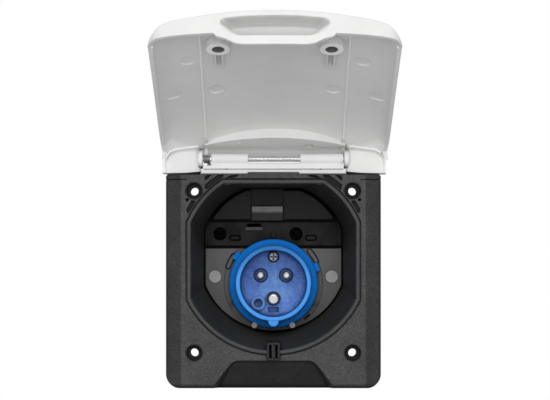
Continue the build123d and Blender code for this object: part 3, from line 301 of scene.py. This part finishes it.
# Painted light and shade on the rim face, lighter towards the bottom and darker towards the top; plus painted crevice
# shade from ambient occlusion.
m.set(Base_Color=m.crevice_shade(m.mix(rim_face, base, m.mix(1.0, pale, m.mapr(place.outputs["Z"], -0.004, 0.0140, 1.22, 0.66), "MULTIPLY")), 0.004, 0.35), Roughness=m.mapr(m.noise(360.0, 2.0), 0.25, 0.75, 0.32, 0.44),
      Normal=m.bump(m.noise(2800.0, 2.0, 0.6), 0.2, 0.00002, m.bevel(0.0003)), Specular_IOR_Level=0.15)
azure = m.m
m = Mat("blue_carrier")
rad = m.t.nodes.new("ShaderNodeVectorMath")
rad.operation = "LENGTH"
m.link(m.mapping(scale=(1.0, 0.0, 0.85), loc=(0.0, 0.0, 0.0085)), rad.inputs[0])
# Painted highlight: the face gets lighter towards its centre.
pale = m.mapr(rad.outputs["Value"], 0.006, 0.019, 1.0, 0.74)
blot = m.mapr(m.noise(520.0, 3.0, 0.65), 0.36, 0.62, 0.0, 1.0)
deep = m.ramp(m.noise(90.0, 3.0), [(0.30, (0.032, 0.118, 0.660)), (0.70, (0.056, 0.168, 0.760))])
soft = m.ramp(m.noise(90.0, 3.0), [(0.30, (0.240, 0.470, 0.930)), (0.70, (0.280, 0.520, 0.960))])
# Painted crevice shade from ambient occlusion.
m.set(Base_Color=m.crevice_shade(m.mix(m.math("MULTIPLY", pale, m.mapr(blot, 0.0, 1.0, 0.50, 1.0)), deep, soft), 0.004, 0.18),
      Roughness=m.mapr(m.noise(360.0, 2.0), 0.25, 0.75, 0.30, 0.42),
      Normal=m.bump(m.noise(2800.0, 2.0, 0.6), 0.25, 0.00002, m.bevel(0.0003)), Specular_IOR_Level=0.35)
violet = m.m
rubber = plastic("seal_rubber", (0.012, 0.012, 0.012), (0.020, 0.020, 0.020), 0.75, grain=1500.0, grain_h=0.00005, grain_s=0.5)
m = Mat("nickel_plate")
facing = m.t.nodes.new("ShaderNodeSeparateXYZ")
m.link(m.t.nodes["Texture Coordinate"].outputs["Normal"], facing.inputs[0])
# Painted highlight: surfaces facing the front get the bright colour, the rest the dull one.
front_glint = m.mapr(facing.outputs["Y"], -0.995, -0.85, 1.0, 0.0)
lines = m.noise(1400.0, 3.0, 0.6, m.mapping(scale=(0.3, 3.0, 0.3)))
bright = m.ramp(m.noise(160.0, 3.0), [(0.3, (0.84, 0.84, 0.825)), (0.7, (0.92, 0.92, 0.905))])
dull = m.ramp(m.noise(160.0, 3.0), [(0.3, (0.24, 0.245, 0.27)), (0.7, (0.32, 0.325, 0.35))])
m.set(Base_Color=m.mix(front_glint, dull, bright), Roughness=m.mapr(lines, 0.3, 0.7, 0.22, 0.36),
      Normal=m.bump(lines, 0.12, 0.00002, m.bevel(0.00015)), Metallic=0.75)
nickel = m.m
m = Mat("nickel_painted_glint")
facing = m.t.nodes.new("ShaderNodeSeparateXYZ")
m.link(m.t.nodes["Texture Coordinate"].outputs["Normal"], facing.inputs[0])
# Painted highlight: surfaces facing the front take the glint colour, the rest the dull one.
front_glint = m.mapr(facing.outputs["Y"], -0.995, -0.85, 1.0, 0.0)
lines = m.noise(1400.0, 3.0, 0.6, m.mapping(scale=(0.3, 3.0, 0.3)))
spot = m.t.nodes.new("ShaderNodeSeparateXYZ")
m.link(m.co, spot.inputs[0])
# Painted highlight: a bright spot on the front of each outer pin, darker around it.
dx = m.math("SUBTRACT", m.math("ABSOLUTE", spot.outputs["X"], 0.0), 0.0076)
dz = m.math("ADD", spot.outputs["Z"], 0.0019)
painted_glint = m.math("SQRT", m.math("ADD", m.math("MULTIPLY", dx, dx), m.math("MULTIPLY", dz, dz)), 0.0)
painted_glint = m.math("ADD", painted_glint, m.mapr(m.noise(900.0, 2.0), 0.3, 0.7, -0.0002, 0.0002))
bright = m.ramp(m.mapr(painted_glint, 0.0006, 0.0019, 0.0, 1.0), [(0.15, (0.93, 0.93, 0.92)), (0.75, (0.22, 0.23, 0.27))])
dull = m.ramp(m.noise(160.0, 3.0), [(0.3, (0.20, 0.205, 0.23)), (0.7, (0.27, 0.275, 0.30))])
m.set(Base_Color=m.mix(front_glint, dull, bright), Roughness=m.mapr(lines, 0.3, 0.7, 0.24, 0.38),
      Normal=m.bump(lines, 0.12, 0.00002, m.bevel(0.00015)), Metallic=0.75)
glint_nickel = m.m
rod = metal("bright_rod", (0.82, 0.82, 0.82), (0.92, 0.92, 0.92), 0.24, scratch=(0.15, 2.0, 2.0), scale=1600.0)
# Zinc parts: painted shade in their crevices, from ambient occlusion.
zinc = metal("zinc_plate", (0.68, 0.68, 0.68), (0.84, 0.84, 0.83), 0.30, occlusion_shade=(0.002, 0.05), metallic=0.8)
spring_steel = metal("spring_wire", (0.34, 0.34, 0.35), (0.48, 0.48, 0.49), 0.32)

m = Mat("closed_cell_foam")
cells = m.voronoi(1700.0)
m.set(Base_Color=m.ramp(m.noise(300.0, 3.0), [(0.3, (0.018, 0.018, 0.018)), (0.7, (0.034, 0.034, 0.034))]),
      Roughness=m.mapr(cells, 0.0, 0.8, 0.95, 0.78), Normal=m.bump(cells, 0.8, 0.0002))
foam = m.m

FINISH = {
    "base_frame": black_body, "flange_gasket": foam, "hinge_strip": white_trim, "hinge_strip_screws": zinc, "hinge_pin": rod,
    "lid": white_lid, "lid_spring": spring_steel, "terminal_cover": black_cover, "inlet_plate": grey_plate, "plate_rivets": light_heads,
    "collar_pins": light_heads, "inlet_gasket": rubber, "inlet_shroud": azure, "contact_carrier": violet, "carrier_screw": zinc,
    "contact_pin_line": glint_nickel, "contact_pin_neutral": glint_nickel, "contact_pin_earth": nickel, "terminal_screws": zinc, "rear_seal": rubber,
    "rear_housing": black_rear, "rear_housing_screws": zinc, "gland_body": nylon, "gland_locknut": nylon, "gland_seal": rubber, "gland_nut": nylon,
}
for name, obj in N.items():
    obj.data.materials.clear()
    obj.data.materials.append(FINISH[name])

# ------------------------------------------------------------------------------------
# Lid spring: a wound wire with two legs, on the pin between the left ear and barrel
# ------------------------------------------------------------------------------------
AX_Y, AX_Z = -9.5 * MM, 64.7 * MM


def tube(name, path, radius, sides=10):
    """A closed tube along a list of points."""
    pts = [Vector(p) for p in path]
    bm = bmesh.new()
    rings = []
    up = Vector((1.0, 0.0, 0.0))
    for i, p in enumerate(pts):
        t = (pts[min(i + 1, len(pts) - 1)] - pts[max(i - 1, 0)]).normalized()
        side = up.cross(t).normalized()
        nrm = t.cross(side).normalized()
        rings.append([bm.verts.new(p + radius * (math.cos(2 * math.pi * k / sides) * side + math.sin(2 * math.pi * k / sides) * nrm)) for k in range(sides)])
    for r0, r1 in zip(rings, rings[1:]):
        for k in range(sides):
            bm.faces.new((r0[k], r0[(k + 1) % sides], r1[(k + 1) % sides], r1[k]))
    bm.faces.new(list(reversed(rings[0])))
    bm.faces.new(rings[-1])
    bmesh.ops.recalc_face_normals(bm, faces=bm.faces)
    mesh = bpy.data.meshes.new(name)
    bm.to_mesh(mesh)
    bm.free()
    for f in mesh.polygons:
        f.use_smooth = True
    ob = bpy.data.objects.new(name, mesh)
    scene.collection.objects.link(ob)
    return ob


COIL_R, COIL_X0, COIL_X1, TURNS = 2.15 * MM, -36.6 * MM, -39.9 * MM, 3.5
path = [(COIL_X0, AX_Y + 3.1 * MM * (1 - i / 4), AX_Z - COIL_R) for i in range(4)]
steps = 112
for i in range(steps + 1):
    f = i / steps
    th = 2 * math.pi * TURNS * (f - 1.0)
    path.append((COIL_X0 + (COIL_X1 - COIL_X0) * f, AX_Y + COIL_R * math.sin(th), AX_Z + COIL_R * math.cos(th)))
path += [(COIL_X1, AX_Y + 4.3 * MM * i / 4, AX_Z + COIL_R) for i in range(1, 5)]
spring = tube("lid_spring_wire", path, 0.40 * MM)
spring.data.materials.append(spring_steel)
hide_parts("lid_spring")
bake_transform(spring)

# ------------------------------------------------------------------------------------
# Stage: pale floor, soft light, camera
# ------------------------------------------------------------------------------------
FLOOR_Z = -0.16
me = bpy.data.meshes.new("floor")
me.from_pydata([(-6, -6, FLOOR_Z), (6, -6, FLOOR_Z), (6, 1.3, FLOOR_Z), (-6, 1.3, FLOOR_Z)], [], [(0, 1, 2, 3)])
floor = bpy.data.objects.new("floor", me)
scene.collection.objects.link(floor)
fm = Mat("floor_pale")
fm.set(Base_Color=fm.ramp(fm.noise(2.0, 2.0), [(0.3, (0.80, 0.80, 0.80)), (0.7, (0.84, 0.84, 0.84))]), Roughness=0.9)
me.materials.append(fm.m)

world = bpy.data.worlds.new("studio")
scene.world = world
world.use_nodes = True
wt = world.node_tree
for n in list(wt.nodes):
    wt.nodes.remove(n)


def wnode(kind, **kw):
    n = wt.nodes.new(kind)
    for k, v in kw.items():
        setattr(n, k, v)
    return n


SIDE_LOW, FRONT_HIGH = 0.14, 0.34      # room brightness at the sides, and in front and behind
tc = wnode("ShaderNodeTexCoord")
sep = wnode("ShaderNodeSeparateXYZ")
wt.links.new(tc.outputs["Generated"], sep.inputs[0])
ab = wnode("ShaderNodeMath", operation="ABSOLUTE")
wt.links.new(sep.outputs["X"], ab.inputs[0])
mr = wnode("ShaderNodeMapRange", interpolation_type="SMOOTHSTEP")
for k, v in zip(("From Min", "From Max", "To Min", "To Max"), (0.30, 0.80, FRONT_HIGH, SIDE_LOW)):
    mr.inputs[k].default_value = v
wt.links.new(ab.outputs[0], mr.inputs["Value"])
room = wnode("ShaderNodeBackground")
wt.links.new(mr.outputs["Result"], room.inputs["Strength"])
room.inputs["Color"].default_value = (1.0, 1.0, 1.0, 1.0)
paper = wnode("ShaderNodeBackground")
paper.inputs["Color"].default_value = (1.0, 1.0, 1.0, 1.0)
paper.inputs["Strength"].default_value = 1.0
lp = wnode("ShaderNodeLightPath")
mx = wnode("ShaderNodeMixShader")
wt.links.new(lp.outputs["Is Camera Ray"], mx.inputs[0])
wt.links.new(room.outputs[0], mx.inputs[1])
wt.links.new(paper.outputs[0], mx.inputs[2])
wo = wnode("ShaderNodeOutputWorld")
wt.links.new(mx.outputs[0], wo.inputs["Surface"])


def area(name, loc, target, size, power, size_y=None):
    d = bpy.data.lights.new(name, "AREA")
    d.energy = power
    d.shape = "RECTANGLE"
    d.size = size
    d.size_y = size_y or size
    o = bpy.data.objects.new(name, d)
    o.location = loc
    o.rotation_euler = (Vector(target) - Vector(loc)).to_track_quat("-Z", "Y").to_euler()
    scene.collection.objects.link(o)
    return o


area("key", (0.0, -1.85, 1.02), (0, -0.03, 0.03), 1.2, 13.5, 0.95)
wash = area("wash", (0.0, -2.1, 0.25), (0, -0.03, 0.03), 1.4, 20.5, 0.9)
wash.visible_glossy = False

cd = bpy.data.cameras.new("camera")
cam = bpy.data.objects.new("camera", cd)
scene.collection.objects.link(cam)
cam.location = (0.00034, -1.207, -0.0023)
cam.rotation_euler = (math.radians(90), 0, 0)
cd.sensor_fit = "HORIZONTAL"
cd.sensor_width = 36.0
cd.lens = 36.0 * 2088 / 550
cd.shift_x = 1.0 / 550
cd.shift_y = 76.0 / 550
cd.clip_start = 0.05
cd.clip_end = 50.0
scene.camera = cam

scene.view_settings.view_transform = "Standard"
scene.view_settings.look = "None"
